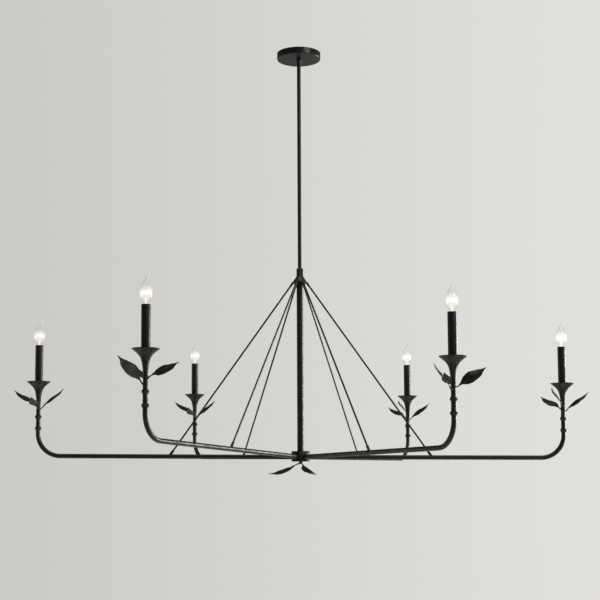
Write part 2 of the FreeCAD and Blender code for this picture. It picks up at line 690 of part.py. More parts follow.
def all_nodes():
    nodes = {
        "crossbar": crossbar(),
        "ground_screw": ground_screw(),
        "swivel_socket": swivel_socket(),
        "swivel_ring": swivel_ring(),
        "swivel_ball": swivel_ball(),
        "canopy": canopy(),
        "canopy_collar": canopy_collar(),
        "canopy_set_screw": canopy_set_screw(),
        "downrod": downrod(),
        "top_collar": top_collar(),
        "lower_stem": lower_stem(),
        "hub": hub(),
        "hub_cover": hub_cover(),
        "hub_finial": hub_finial(),
        "hub_leaves": hub_leaves(),
        "wire_connectors": wire_connectors(),
        "supply_wire": supply_wire(),
        "arm_wires": arm_wires(),
        "support_rod_nuts": support_rod_nuts(),
        "support_rod_feet": support_rod_feet(),
        "stem_beads": stem_beads(),
        "drip_cups": on_every_candle(cup_at_origin()),
        "candle_sleeves": on_every_candle(sleeve_at_origin()),
        "lamp_sockets": on_every_candle(socket_at_origin()),
    }
    for name in ARMS:
        nodes["arm_" + name] = arm(name)
        nodes["support_rod_" + name] = support_rod(name)
        nodes["leaf_spray_" + name] = leaf_spray(name)
        nodes["bulb_base_" + name] = at_candle(bulb_base_at_origin(), name)
        nodes["bulb_glass_" + name] = at_candle(bulb_glass_at_origin(), name)
        nodes["bulb_filament_" + name] = at_candle(filament_at_origin(), name)
    return nodes


os.makedirs("parts", exist_ok=True)
for node, shape in all_nodes().items():
    if not shape.isValid() or min(solid.Volume for solid in shape.Solids) <= 0:
        raise ValueError(node + " is not a valid closed solid")
    shape.exportStep("parts/" + node + ".step")
    print(node, len(shape.Solids), round(shape.Volume))
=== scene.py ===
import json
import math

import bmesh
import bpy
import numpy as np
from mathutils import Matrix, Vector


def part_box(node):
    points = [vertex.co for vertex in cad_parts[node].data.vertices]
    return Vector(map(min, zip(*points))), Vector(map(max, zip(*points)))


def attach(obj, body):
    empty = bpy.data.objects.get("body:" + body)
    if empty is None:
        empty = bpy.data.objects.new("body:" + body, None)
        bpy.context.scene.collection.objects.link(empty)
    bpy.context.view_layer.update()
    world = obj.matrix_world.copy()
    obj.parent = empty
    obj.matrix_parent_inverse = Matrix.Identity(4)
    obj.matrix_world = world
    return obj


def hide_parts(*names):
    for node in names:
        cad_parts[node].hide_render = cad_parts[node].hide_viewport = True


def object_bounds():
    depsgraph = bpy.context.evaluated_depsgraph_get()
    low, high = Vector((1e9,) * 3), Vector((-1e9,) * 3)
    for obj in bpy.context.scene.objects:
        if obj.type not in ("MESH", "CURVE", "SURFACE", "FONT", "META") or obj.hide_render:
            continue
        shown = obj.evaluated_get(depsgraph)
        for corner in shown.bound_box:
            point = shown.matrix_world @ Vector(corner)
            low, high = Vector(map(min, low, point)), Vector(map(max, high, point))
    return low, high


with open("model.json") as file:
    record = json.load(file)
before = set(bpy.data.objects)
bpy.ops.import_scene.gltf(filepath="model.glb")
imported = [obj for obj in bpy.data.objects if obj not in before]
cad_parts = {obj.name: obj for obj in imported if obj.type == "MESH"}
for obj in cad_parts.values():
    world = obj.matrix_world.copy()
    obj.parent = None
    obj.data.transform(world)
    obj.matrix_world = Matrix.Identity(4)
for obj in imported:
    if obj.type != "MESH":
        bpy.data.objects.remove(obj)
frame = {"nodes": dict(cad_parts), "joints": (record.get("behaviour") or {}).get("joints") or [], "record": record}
cad_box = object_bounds()

# %% [markdown]
# # A six-arm candle chandelier in black iron
# A rod hangs from a round canopy on the ceiling. A stem at its foot carries a small hub, and six long tubes
# run out from the hub, turn upwards, and end in leaf sprays, trumpet cups and candles. Slim rods from a
# collar on the stem keep the arms level.
#
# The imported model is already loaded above. It is the fixed frame: it says where every piece stands and what
# it moves with. Each step below makes the finished form of one kind of piece around it.

MM = 0.001
UP = Vector((0.0, 0.0, 1.0))
ARMS = sorted(name[4:] for name in frame["nodes"] if name.startswith("arm_") and name != "arm_wires")
low, high = cad_box
print("arms:", ARMS)
print("whole frame in millimetres:", [round((b - a) / MM) for a, b in zip(low, high)])

# %% [markdown]
# ## Where each candle stands
# A bulb unscrews about its candle's axis, so the joint that turns the bulb gives that axis. The top end of the
# arm's tube gives the height. The cups, beads, sleeves and sockets are all placed from this one point, the
# tube's end, so a change of an arm in the design moves everything that stands on it.

# %% The six tube ends
turning = {joint["name"]: joint for joint in frame["joints"]}
tube_end = {}
for arm in ARMS:
    x, y, _ = turning["bulb_turn_" + arm]["pos_m"]
    tube_end[arm] = Vector((x, y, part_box("arm_" + arm)[1].z))
reach = tube_end["right"].x
for arm, point in tube_end.items():
    print(arm, [round(value / MM, 1) for value in point])

# %% [markdown]
# ## Meshes from plain lists
# These helpers turn lists of points into an object. Every object is shaded smoothly, but each edge sharper
# than a set angle stays crisp, as a lathe or a press leaves it. A skin joins neighbouring rings of points with
# four-sided faces, merges the points that meet at a pole, and turns all faces outwards.

# %% Mesh helpers
CRISP = math.radians(38.0)
FACET_GAP = 0.002 * MM
POLE_GAP = 0.01 * MM


def linked(name, data):
    """A new object in the scene, at the origin."""
    thing = bpy.data.objects.new(name, data)
    bpy.context.scene.collection.objects.link(thing)
    return thing


def as_object(name, mesh):
    """An object from a mesh, smooth except along its crisp edges."""
    mesh.name = name
    mesh.shade_smooth()
    mesh.set_sharp_from_angle(angle=CRISP)
    return linked(name, mesh)


def cad_shape(node):
    """A copy of a CAD node's mesh with its loose facets merged, ready to be edited."""
    shape = bmesh.new()
    shape.from_mesh(frame["nodes"][node].data)
    bmesh.ops.remove_doubles(shape, verts=shape.verts, dist=FACET_GAP)
    return shape


def from_shape(name, shape):
    """An object from an edited shape, which is used up."""
    mesh = bpy.data.meshes.new(name)
    shape.to_mesh(mesh)
    shape.free()
    return as_object(name, mesh)


def joined(name, pieces):
    """One object from several; the several are removed."""
    shape = bmesh.new()
    for piece in pieces:
        shape.from_mesh(piece.data)
        bpy.data.objects.remove(piece)
    return from_shape(name, shape)


def stored(piece, name, rule):
    """Gives every point of a piece a named value, worked out from where the point is."""
    values = piece.data.attributes.new(name, "FLOAT", "POINT")
    values.data.foreach_set("value", [rule(vertex.co) for vertex in piece.data.vertices])


def skin(name, rings, closed_along=False):
    """Object from rings of points: each ring is one row, and neighbouring rows are joined by faces."""
    rings = np.asarray(rings, float)
    rows, points = rings.shape[:2]
    faces = []
    for row in range(rows if closed_along else rows - 1):
        for point in range(points):
            beside = (point + 1) % points
            above = (row + 1) % rows
            faces.append((row * points + point, row * points + beside,
                          above * points + beside, above * points + point))
    mesh = bpy.data.meshes.new(name)
    mesh.from_pydata(rings.reshape(-1, 3).tolist(), [], faces)
    shape = bmesh.new()
    shape.from_mesh(mesh)
    bmesh.ops.remove_doubles(shape, verts=shape.verts, dist=POLE_GAP)
    bmesh.ops.dissolve_degenerate(shape, edges=shape.edges, dist=POLE_GAP / 10)
    bmesh.ops.recalc_face_normals(shape, faces=shape.faces)
    shape.to_mesh(mesh)
    shape.free()
    return as_object(name, mesh)


# %% [markdown]
# ## Turned outlines
# Most of this lamp is turned work: an outline spun about an axis. An outline is a closed list of (radius,
# height) corners in millimetres. Real turned and pressed edges are never knife-sharp, so each corner is
# replaced by a small curve before it is spun. That tiny curve is what catches a line of light on dark metal.

# %% Outline helpers
ON_AXIS = 0.01
CLEAR_TURN = math.radians(20)


def eased(corners, radius, steps=4):
    """A closed outline with every clear corner rounded, and corners on the axis left alone."""
    outline = []
    count = len(corners)
    for index, corner in enumerate(corners):
        here = Vector(corner)
        before = Vector(corners[index - 1])
        after = Vector(corners[(index + 1) % count])
        back = before - here
        ahead = after - here
        turn = math.pi - back.angle(ahead)
        if here.x < ON_AXIS or turn < CLEAR_TURN:
            outline.append(here)
            continue
        inset = min(radius, 0.45 * back.length, 0.45 * ahead.length)
        first = here + back.normalized() * inset
        last = here + ahead.normalized() * inset
        for step in range(steps + 1):
            share = step / steps
            outline.append(first * (1 - share) ** 2 + here * (2 * share * (1 - share)) + last * share ** 2)
    return outline


def flowing(points, steps):
    """A smooth line through points, with a number of steps between each two."""
    line = []
    for index in range(len(points) - 1):
        a = Vector(points[max(index - 1, 0)])
        b = Vector(points[index])
        c = Vector(points[index + 1])
        d = Vector(points[min(index + 2, len(points) - 1)])
        for step in range(steps):
            t = step / steps
            line.append(0.5 * ((2 * b) + (c - a) * t + (2 * a - 5 * b + 4 * c - d) * t * t
                               + (3 * b - a - 3 * c + d) * t ** 3))
    return line + [Vector(points[-1])]


def spun(name, outline, sides=48):
    """A turned solid about the Z axis from a closed outline in millimetres."""
    rings = []
    for side in range(sides):
        angle = 2 * math.pi * side / sides
        rings.append([(r * MM * math.cos(angle), r * MM * math.sin(angle), z * MM) for r, z in outline])
    return skin(name, rings, closed_along=True)


print("a square of four corners becomes", len(eased([(1, 0), (2, 0), (2, 1), (1, 1)], 0.2)), "points")

# %% [markdown]
# ## Node trees in a few lines
# Geometry Nodes and materials are both trees of nodes. These helpers add a node, set its plain values and
# join its inputs in one call, so that each tree below reads as a short list of steps. A value given for an
# input is a number, a colour or another node's output.

# %% Node helpers
def feed(tree, node, inputs):
    """Gives a node its inputs, by name or number."""
    for key, value in inputs.items():
        socket = node.inputs[key]
        if isinstance(value, bpy.types.NodeSocket):
            tree.links.new(value, socket)
        else:
            socket.default_value = value


def add(tree, kind, inputs=None, **settings):
    """Adds a node with its settings and inputs."""
    node = tree.nodes.new(kind)
    for name, value in settings.items():
        setattr(node, name, value)
    feed(tree, node, inputs or {})
    return node


def maths(tree, operation, *values):
    """One arithmetic step; returns its output."""
    return add(tree, "ShaderNodeMath", dict(enumerate(values)), operation=operation).outputs[0]


def times(tree, first, *others):
    """The product of two or more values."""
    for other in others:
        first = maths(tree, "MULTIPLY", first, other)
    return first


def position(tree):
    """Where each point is."""
    return add(tree, "GeometryNodeInputPosition").outputs[0]


def stored_value(tree, name, kind):
    """A value that the points carry under a name."""
    return add(tree, "GeometryNodeInputNamedAttribute", {"Name": name}, data_type=kind).outputs[0]


def geometry_tree(name, *numbers, **others):
    """An empty Geometry Nodes tree with named inputs: returns it, what it is given, and its end node."""
    tree = bpy.data.node_groups.new(name, "GeometryNodeTree")
    fields = {"Geometry": "Geometry", **dict.fromkeys(numbers, "Float"), **others, "Material": "Material"}
    for label, kind in fields.items():
        tree.interface.new_socket(label, in_out="INPUT", socket_type="NodeSocket" + kind)
    tree.interface.new_socket("Geometry", in_out="OUTPUT", socket_type="NodeSocketGeometry")
    return tree, tree.nodes.new("NodeGroupInput").outputs, tree.nodes.new("NodeGroupOutput")


def vectors(tree, operation, inputs):
    """One step of vector arithmetic; returns its output."""
    return add(tree, "ShaderNodeVectorMath", inputs, operation=operation).outputs[0]


def off_axis(tree, where):
    """The direction from the Z axis straight out to a place."""
    return vectors(tree, "NORMALIZE", {0: vectors(tree, "MULTIPLY", {0: where, 1: (1.0, 1.0, 0.0)})})


def pushed(tree, given, direction, distance):
    """The tree's own geometry with each point moved along a direction."""
    offset = vectors(tree, "SCALE", {0: direction, "Scale": distance})
    return add(tree, "GeometryNodeSetPosition",
               {"Geometry": given["Geometry"], "Offset": offset}).outputs[0]


def finish_tree(tree, given, output, geometry):
    """Ends a tree as the export needs it: real geometry, with its material on it."""
    real = add(tree, "GeometryNodeRealizeInstances", {0: geometry}).outputs[0]
    coated = add(tree, "GeometryNodeSetMaterial", {"Geometry": real, "Material": given["Material"]})
    tree.links.new(coated.outputs[0], output.inputs[0])


def grown(name, carrier, tree, values):
    """Runs a tree on a carrier object and returns the result as a plain mesh object."""
    modifier = carrier.modifiers.new("nodes", "NODES")
    modifier.node_group = tree
    for item in tree.interface.items_tree:
        if item.in_out == "INPUT" and item.name in values:
            modifier[item.identifier] = values[item.name]
    carrier.update_tag()
    bpy.context.view_layer.update()
    seen = carrier.evaluated_get(bpy.context.evaluated_depsgraph_get())
    mesh = bpy.data.meshes.new_from_object(seen)
    carrier.modifiers.remove(modifier)
    bpy.data.objects.remove(carrier)
    return as_object(name, mesh)


# %% [markdown]
# ## Finishes
# The iron is black, warm and satin rather than glossy. A real blackened iron is never one even tone: it is
# mottled where the finish took unevenly, a little browner and shinier where hands and cloths have rubbed it,
# and it has a fine tooth that breaks up reflections. One function makes every painted or blackened metal
# from those few things, all measured on the object itself so that nothing slides as it moves.

# %% Material helpers
def blank(name):
    """A new material with an empty tree: returns it, its tree and its Principled shader."""
    material = bpy.data.materials.new(name)
    material.use_nodes = True
    tree = material.node_tree
    tree.nodes.clear()
    shader = add(tree, "ShaderNodeBsdfPrincipled")
    add(tree, "ShaderNodeOutputMaterial", {"Surface": shader.outputs[0]})
    return material, tree, shader


def on_object(tree, stretch=(1, 1, 1)):
    """The place on the object, in metres, stretched if a grain needs it."""
    place = add(tree, "ShaderNodeTexCoord").outputs["Object"]
    return add(tree, "ShaderNodeMapping", {"Vector": place, "Scale": stretch}).outputs[0]


def noise(tree, place, scale, detail=4.0, roughness=0.55):
    """Cloudy noise; returns its grey output, from about 0.3 to 0.7."""
    return add(tree, "ShaderNodeTexNoise", {"Vector": place, "Scale": scale, "Detail": detail,
                                            "Roughness": roughness}).outputs[0]


def ramp(tree, value, low, high, to_low=0.0, to_high=1.0):
    """Spreads a value between two limits, smoothly."""
    return add(tree, "ShaderNodeMapRange", {"Value": value, "From Min": low, "From Max": high,
                                            "To Min": to_low, "To Max": to_high},
               interpolation_type="SMOOTHSTEP").outputs[0]


def blend(tree, share, one, two):
    """Mixes two colours."""
    mix = add(tree, "ShaderNodeMix", data_type="RGBA")
    tree.links.new(share, mix.inputs["Factor"])
    for socket, colour in zip([s for s in mix.inputs if s.type == "RGBA"], (one, two)):
        if isinstance(colour, bpy.types.NodeSocket):
            tree.links.new(colour, socket)
        else:
            socket.default_value = (*colour, 1.0)
    return next(s for s in mix.outputs if s.type == "RGBA")


def bumped(tree, shader, layers):
    """Stacks bumps on a shader: each layer is (height output, depth in millimetres)."""
    normal = None
    for height, depth in layers:
        inputs = {"Height": height, "Strength": 1.0, "Distance": depth * MM}
        if normal is not None:
            inputs["Normal"] = normal
        normal = add(tree, "ShaderNodeBump", inputs).outputs[0]
    feed(tree, shader, {"Normal": normal})


def coated_metal(name, deep, worn, rough, tooth, dimple=0.0, specular=0.32):
    """Painted or blackened metal: two tones, a range of roughness, a fine tooth and soft dimples."""
    material, tree, shader = blank(name)
    place = on_object(tree)
    clouds = noise(tree, place, 38.0)
    specks = noise(tree, place, 420.0, 2.0)
    rubbed = ramp(tree, maths(tree, "ADD", clouds, times(tree, specks, 0.35)), 0.58, 0.82)
    feed(tree, shader, {"Base Color": blend(tree, rubbed, deep, worn), "Specular IOR Level": specular,
                        "Roughness": ramp(tree, clouds, 0.32, 0.68, rough[1], rough[0])})
    layers = [(specks, tooth)]
    if dimple:
        layers.append((noise(tree, place, 95.0, 1.5), dimple))
    bumped(tree, shader, layers)
    return material


# %% [markdown]
# ### The iron in its four states
# The tubes and turned parts are smooth with a fine tooth. The leaves are beaten, so they also carry dimples
# and a slightly browner rub. The canopy is the smoothest: it is spun from sheet and mirrors the rod softly.
# The candle tubes are painted thin tube, even in tone and a little more matt than the iron.

# %% Iron finishes
deep_black = (0.0050, 0.0046, 0.0041)
black_iron = coated_metal("black_iron", deep_black, (0.0125, 0.0110, 0.0095), (0.34, 0.5), 0.018)
beaten_iron = coated_metal("beaten_iron", (0.0062, 0.0056, 0.0050), (0.026, 0.022, 0.0188), (0.34, 0.54),
                           0.04, dimple=0.22)
spun_iron = coated_metal("spun_iron", deep_black, (0.0090, 0.0080, 0.0070), (0.26, 0.38), 0.010)
candle_black = coated_metal("candle_black", (0.0042, 0.0040, 0.0037), (0.0080, 0.0074, 0.0064), (0.38, 0.52),
                            0.012)
screw_black = coated_metal("screw_black", (0.008, 0.008, 0.009), (0.02, 0.02, 0.022), (0.3, 0.45), 0.02)
green_screw = coated_metal("green_screw", (0.02, 0.16, 0.05), (0.06, 0.28, 0.10), (0.28, 0.42), 0.02)
print("iron finishes:", [m.name for m in (black_iron, beaten_iron, spun_iron, candle_black)])

# %% [markdown]
# ### Bare metals
# The crossbar and the swivel are zinc-plated steel, dull with faint crystals. The seat ring and the bulbs'
# screw shells are turned brass: the fine grooves run round the axis, so the noise is stretched flat.

# %% Bare metal finishes
def bare_metal(name, one, two, rough, flat, scale, tooth):
    """Plated or turned metal; flat says how many times its grain is squeezed along the axis."""
    material, tree, shader = blank(name)
    grain = noise(tree, on_object(tree, (1, 1, flat)), scale, 3.0)
    stain = noise(tree, on_object(tree), 60.0, 3.0)
    feed(tree, shader, {"Base Color": blend(tree, ramp(tree, stain, 0.35, 0.7), one, two), "Metallic": 1.0,
                        "Roughness": ramp(tree, grain, 0.3, 0.7, *rough)})
    bumped(tree, shader, [(grain, tooth)])
    return material


zinc = bare_metal("zinc_plate", (0.58, 0.60, 0.63), (0.44, 0.46, 0.48), (0.28, 0.46), 1, 300.0, 0.02)
ring_brass = bare_metal("ring_brass", (0.78, 0.57, 0.25), (0.62, 0.43, 0.18), (0.2, 0.34), 12, 160.0, 0.02)
shell_brass = bare_metal("shell_brass", (0.80, 0.70, 0.50), (0.64, 0.54, 0.36), (0.18, 0.34), 9, 220.0, 0.015)
tungsten = bare_metal("lead_wire", (0.62, 0.60, 0.57), (0.48, 0.46, 0.44), (0.25, 0.4), 1, 900.0, 0.005)

# %% [markdown]
# ### Plastics, glass and light
# The moulded parts are hidden inside, but they get their own tone and grain all the same. The bulbs are clear
# glass and lit. A lit filament is far too thin and bright to look like a wire: what the eye sees is a soft
# warm glare in the glass round it. So each glass carries a "glow" value on its points, strongest level with
# the filament, and the material turns that value into a little light of its own.

# %% Plastic, glass and glow finishes
def moulded(name, one, two, rough, scale=120.0):
    """Moulded plastic or rubber: two close tones and a fine orange-peel."""
    material, tree, shader = blank(name)
    place = on_object(tree)
    clouds = noise(tree, place, scale)
    feed(tree, shader, {"Base Color": blend(tree, ramp(tree, clouds, 0.35, 0.65), one, two),
                        "Roughness": ramp(tree, clouds, 0.3, 0.7, *rough)})
    bumped(tree, shader, [(noise(tree, place, 900.0, 1.0), 0.015)])
    return material


def lit_glass(name, glow_colour, glow_strength):
    """Clear glass with faint smears, and a glare that follows the points' glow value."""
    material, tree, shader = blank(name)
    smears = noise(tree, on_object(tree, (1, 1, 0.3)), 110.0, 3.0)
    glow = add(tree, "ShaderNodeAttribute", attribute_name="glow").outputs["Fac"]
    clear = blend(tree, ramp(tree, smears, 0.4, 0.7), (1, 1, 1), (0.98, 0.975, 0.96))
    feed(tree, shader, {"Base Color": clear,
                        "Roughness": ramp(tree, smears, 0.4, 0.75, 0.01, 0.05),
                        "Emission Strength": times(tree, glow, glow_strength),
                        "Emission Color": (*glow_colour, 1.0), "Transmission Weight": 1.0, "IOR": 1.45,
                        "Specular IOR Level": 0.2})
    return material


def glowing(name, colour, strength):
    """A wire hot enough to give light, a little uneven along its length."""
    material, tree, shader = blank(name)
    heat = ramp(tree, noise(tree, on_object(tree), 500.0, 1.0), 0.3, 0.7, 0.8 * strength, strength)
    base = blend(tree, ramp(tree, heat, 0.0, strength), (0.9, 0.6, 0.3), (1.0, 0.86, 0.62))
    feed(tree, shader, {"Base Color": base, "Emission Strength": heat, "Emission Color": (*colour, 1.0)})
    return material


phenolic = moulded("phenolic", (0.030, 0.024, 0.020), (0.045, 0.037, 0.030), (0.35, 0.5))
connector_orange = moulded("connector_orange", (0.70, 0.22, 0.03), (0.78, 0.28, 0.05), (0.28, 0.4))
cable_black = moulded("cable_black", (0.020, 0.020, 0.021), (0.035, 0.035, 0.036), (0.4, 0.55), 60.0)
bulb_glass = lit_glass("bulb_glass", (1.0, 0.96, 0.90), 0.10)
mount_glass = lit_glass("mount_glass", (1.0, 0.72, 0.42), 0.22)
filament_glow = glowing("filament_glow", (1.0, 0.80, 0.52), 1.6)

# %% [markdown]
# ## Settling a piece
# Every finished piece is told the same few things: its finish, the body it moves with, and which plain CAD
# nodes it stands for. The bodies come from the record, so the script never has to know which joint moves
# what.

# %% Settling helpers
body_of_node = {}
for body, nodes in frame["record"]["behaviour"]["bodies"].items():
    for node in nodes:
        body_of_node[node] = body


def settle(piece, slot, *nodes, finish=None, body=None):
    """Gives a piece its finish and its body, and hides the CAD nodes it stands for; the slot is not used."""
    if finish is not None:
        piece.data.materials.clear()
        piece.data.materials.append(finish)
    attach(piece, body or body_of_node[nodes[0]])
    if nodes:
        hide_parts(*nodes)
    triangles = sum(len(face.vertices) - 2 for face in piece.data.polygons)
    print(f"{piece.name}: {triangles} triangles")
    return piece


def smoothed(name, node, slot, finish):
    """A CAD node whose shape is already right, with its loose facets merged so that it shades smoothly."""
    return settle(from_shape(name, cad_shape(node)), slot, node, finish=finish)


# %% [markdown]
# ## The ceiling end
# The canopy is a shallow pan spun from sheet, with a small radius where its side turns into its face. The
# outline below is the sheet's whole section, inside and outside, so that it is hollow like the real one. Its
# sizes are read from the CAD node's box. The collar under it, and the crossbar and ball swivel that it
# hides, are already right in CAD and only need their facets merged.

# %% Canopy
SHEET = 1.5
PAN_EDGE = 2.5
FOLD_R = 1.0
HOLE_R = 6.4

low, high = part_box("canopy")
pan_r = high.x / MM
pan_low = low.z / MM
inner_r = pan_r - SHEET
rolled = [(pan_r - PAN_EDGE * (1 - math.cos(a)), pan_low + PAN_EDGE * (1 - math.sin(a)))
          for a in (math.radians(step * 10) for step in range(10))]
folded = [(inner_r - FOLD_R * (1 - math.cos(a)), pan_low + SHEET + FOLD_R * (1 - math.sin(a)))
          for a in (math.radians(90 - step * 18) for step in range(6))]
section = [(pan_r, 0)] + rolled + [(HOLE_R, pan_low), (HOLE_R, pan_low + SHEET)] + folded + [(inner_r, 0)]
settle(spun("spun_canopy", section, 128), "black_iron", "canopy", finish=spun_iron)

# %% Collar, crossbar and swivel
for name, node, slot, finish in (
        ("lock_collar", "canopy_collar", "black_iron", black_iron),
        ("collar_set_screw", "canopy_set_screw", "black_screw", screw_black),
        ("ceiling_crossbar", "crossbar", "zinc_steel", zinc),
        ("ground_screw_green", "ground_screw", "green_screw", green_screw),
        ("swivel_cup", "swivel_socket", "zinc_steel", zinc),
        ("swivel_seat_ring", "swivel_ring", "brass", ring_brass),
        ("swivel_ball_shank", "swivel_ball", "zinc_steel", zinc)):
    smoothed(name, node, slot, finish)

# %% [markdown]
# ## Rod, collar, stem and hub
# The rod and the stem are plain tubes. Drawn tube is never perfectly round or straight, and on a dark tube
# that shows as a highlight that wavers slightly. The tree below draws a tube along any line of points and
# lets its thickness waver by a named share. The same tree then makes the arms and the slim rods.

# %% The drawn tube tree
tree, given, output = geometry_tree("drawn_tube", "Radius", "Waver", "Seed", Sides="Int")
line = add(tree, "GeometryNodeMeshToCurve", {"Mesh": given["Geometry"]}).outputs[0]
where = position(tree)
drift = add(tree, "ShaderNodeTexNoise",
            {"Vector": where, "W": given["Seed"], "Scale": 14.0, "Detail": 1.0},
            noise_dimensions="4D").outputs[0]
swing = times(tree, maths(tree, "SUBTRACT", drift, 0.5), given["Waver"])
thickness = times(tree, given["Radius"], maths(tree, "ADD", swing, 1.0))
section = add(tree, "GeometryNodeCurvePrimitiveCircle",
              {"Resolution": given["Sides"], "Radius": 1.0}).outputs[0]
tube = add(tree, "GeometryNodeCurveToMesh", {"Curve": line, "Profile Curve": section, "Scale": thickness,
                                             "Fill Caps": True}).outputs[0]
finish_tree(tree, given, output, tube)
drawn_tube = tree


def drawn(name, points, radius, material, sides=20, waver=0.02, seed=0.0):
    """A round bar along points given in metres."""
    mesh = bpy.data.meshes.new(name)
    mesh.from_pydata([tuple(p) for p in points], [(i, i + 1) for i in range(len(points) - 1)], [])
    values = {"Radius": radius, "Sides": sides, "Waver": waver, "Seed": seed, "Material": material}
    return grown(name, linked(name, mesh), drawn_tube, values)


def stepped(start, end, spacing):
    """Points along a straight run, evenly spaced, without the last one."""
    count = max(2, round((end - start).length / spacing))
    return [start.lerp(end, step / count) for step in range(count)]


def upright(node):
    """The two ends and the radius of an upright round node that stands on the rod's axis."""
    low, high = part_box(node)
    return Vector((0, 0, high.z)), Vector((0, 0, low.z)), high.x


# %% Rod and stem
for seed, (name, node) in enumerate({"drawn_rod": "downrod", "drawn_stem": "lower_stem"}.items()):
    top, bottom, radius = upright(node)
    points = stepped(top, bottom, 8 * MM) + [bottom]
    piece = drawn(name, points, radius, black_iron, sides=40, waver=0.012, seed=seed)
    settle(piece, "black_iron", node)

# %% Collar, hub, cover and finial
for name, node in {"stem_collar": "top_collar", "hub_drum": "hub", "hub_plate": "hub_cover",
                   "hub_foot": "hub_finial"}.items():
    smoothed(name, node, "black_iron", black_iron)

# %% [markdown]
# ## The arms
# Each arm is one tube: out from the hub on a slight slope, round a bend, and straight up. Its path follows a
# rule. The frame gives the height at which the arms meet in the hub and the place of the tube's top end, and
# the bend's radius and the riser's height are set here. The bend is an arc that touches both straight runs.

# %% Arm paths
ARM_R = 6.33 * MM
BEND_R = 65 * MM
RISER = 118 * MM
HUB_FOOT_TO_ARMS = 9.5 * MM
TUBE_START = 21 * MM
BEND_STEPS = 26

arm_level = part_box("hub")[0].z + HUB_FOOT_TO_ARMS


def arm_corner(arm):
    """Where the arm's sloping run and its riser would meet without a bend."""
    return tube_end[arm] - UP * RISER


def arm_points(arm):
    """The arm's centre line from inside the hub to the tube's top end."""
    corner = arm_corner(arm)
    outward = Vector((corner.x, corner.y, 0)).normalized()
    middle = UP * arm_level
    run = (corner - middle).normalized()
    slope = math.asin(run.z)
    setback = BEND_R * math.tan((math.pi / 2 - slope) / 2)
    bend_start = corner - run * setback
    bend_end = corner + UP * setback
    centre = bend_end - outward * BEND_R
    points = stepped(middle + run * TUBE_START, bend_start, 14 * MM)
    for step in range(BEND_STEPS):
        angle = (slope - math.pi / 2) * (1 - step / BEND_STEPS)
        points.append(centre + (outward * math.cos(angle) + UP * math.sin(angle)) * BEND_R)
    return points + stepped(bend_end, tube_end[arm], 6 * MM) + [tube_end[arm]]


for seed, arm in enumerate(ARMS):
    piece = drawn("bent_arm_" + arm, arm_points(arm), ARM_R, black_iron, sides=32, seed=seed + 3)
    settle(piece, "black_iron", "arm_" + arm)

# %% [markdown]
# ## Support rods, nuts and feet
# Each slim rod runs straight from under the collar's skirt to the middle of an arm. Its ends are the two
# points that the design fixes: one on a ring at the skirt's lower edge, and one half way out along the arm's
# axis. The rods are drawn with the same tube tree. The nuts and the saddle feet come from CAD.

# %% Support rods
ROD_R = 2.5 * MM
SKIRT_RING = 20.5 * MM
SKIRT_UP = 0.5 * MM
HALFWAY = 374 * MM
FOOT_CLEAR = 10.35 * MM

skirt_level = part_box("top_collar")[0].z + SKIRT_UP
for seed, arm in enumerate(ARMS):
    corner = arm_corner(arm)
    outward = Vector((corner.x, corner.y, 0)).normalized()
    top = outward * SKIRT_RING + UP * skirt_level
    foot = (UP * arm_level).lerp(corner, HALFWAY / reach)
    foot += (top - foot).normalized() * FOOT_CLEAR
    piece = drawn("slim_rod_" + arm, stepped(top, foot, 20 * MM) + [foot], ROD_R, black_iron,
                  sides=18, seed=seed + 11)
    settle(piece, "black_iron", "support_rod_" + arm)
smoothed("rod_nuts", "support_rod_nuts", "black_iron", black_iron)
smoothed("rod_feet", "support_rod_feet", "black_iron", black_iron)
print("rods run from", round(skirt_level / MM), "to", round(foot.z / MM), "mm")

# %% [markdown]
# ## What stands on every arm
# Each candle is the same stack: two beads on the riser, a trumpet cup on the tube's end, a socket on a short
# stem, and a candle tube over it. One of each is turned at the origin, and a tree then sets a copy on every
# point of a small cloud of points. A point's "facing" says which way its copy's axis looks.

# %% The copying tree
tree, given, output = geometry_tree("set_on_points", Pattern="Object")
pattern = add(tree, "GeometryNodeObjectInfo", {"Object": given["Pattern"]},
              transform_space="ORIGINAL").outputs["Geometry"]
facing = stored_value(tree, "facing", "FLOAT_VECTOR")
turned_to = add(tree, "FunctionNodeAlignRotationToVector", {"Vector": facing}, axis="Z").outputs[0]
copies = add(tree, "GeometryNodeInstanceOnPoints",
             {"Points": given["Geometry"], "Instance": pattern, "Rotation": turned_to}).outputs[0]
finish_tree(tree, given, output, copies)
set_on_points = tree


def copied(name, pattern, places, material, keep=False):
    """One object with an upright copy of the pattern at every place; the pattern goes unless it is kept."""
    mesh = bpy.data.meshes.new(name)
    mesh.from_pydata([tuple(place) for place in places], [], [])
    facing = mesh.attributes.new("facing", "FLOAT_VECTOR", "POINT")
    for point in facing.data:
        point.vector = UP
    piece = grown(name, linked(name, mesh), set_on_points, {"Pattern": pattern, "Material": material})
    if not keep:
        bpy.data.objects.remove(pattern)
    return piece


ends = [tube_end[arm] for arm in ARMS]

# %% [markdown]
# ### Beads
# A bead is a turned ring with a pointed waist and a small neck above and below. Two stand on each riser, at
# set distances under the tube's end.

# %% Beads
BEAD_DROPS = (40.0, 7.3)
BEAD_R = 9.8
BEAD_BORE = 6.36
BEAD_HALF = 5.4
NECK_R = 7.55

half_bead = [(BEAD_BORE, BEAD_HALF), (NECK_R - 0.2, BEAD_HALF), (NECK_R, 3.8), (BEAD_R - 0.9, 1.6),
             (BEAD_R, 0.0)]
bead = eased(half_bead + [(r, -z) for r, z in reversed(half_bead[:-1])], 0.5)
places = [end - UP * (drop * MM) for end in ends for drop in BEAD_DROPS]
settle(copied("turned_beads", spun("bead", bead, 48), places, black_iron), "black_iron", "stem_beads")

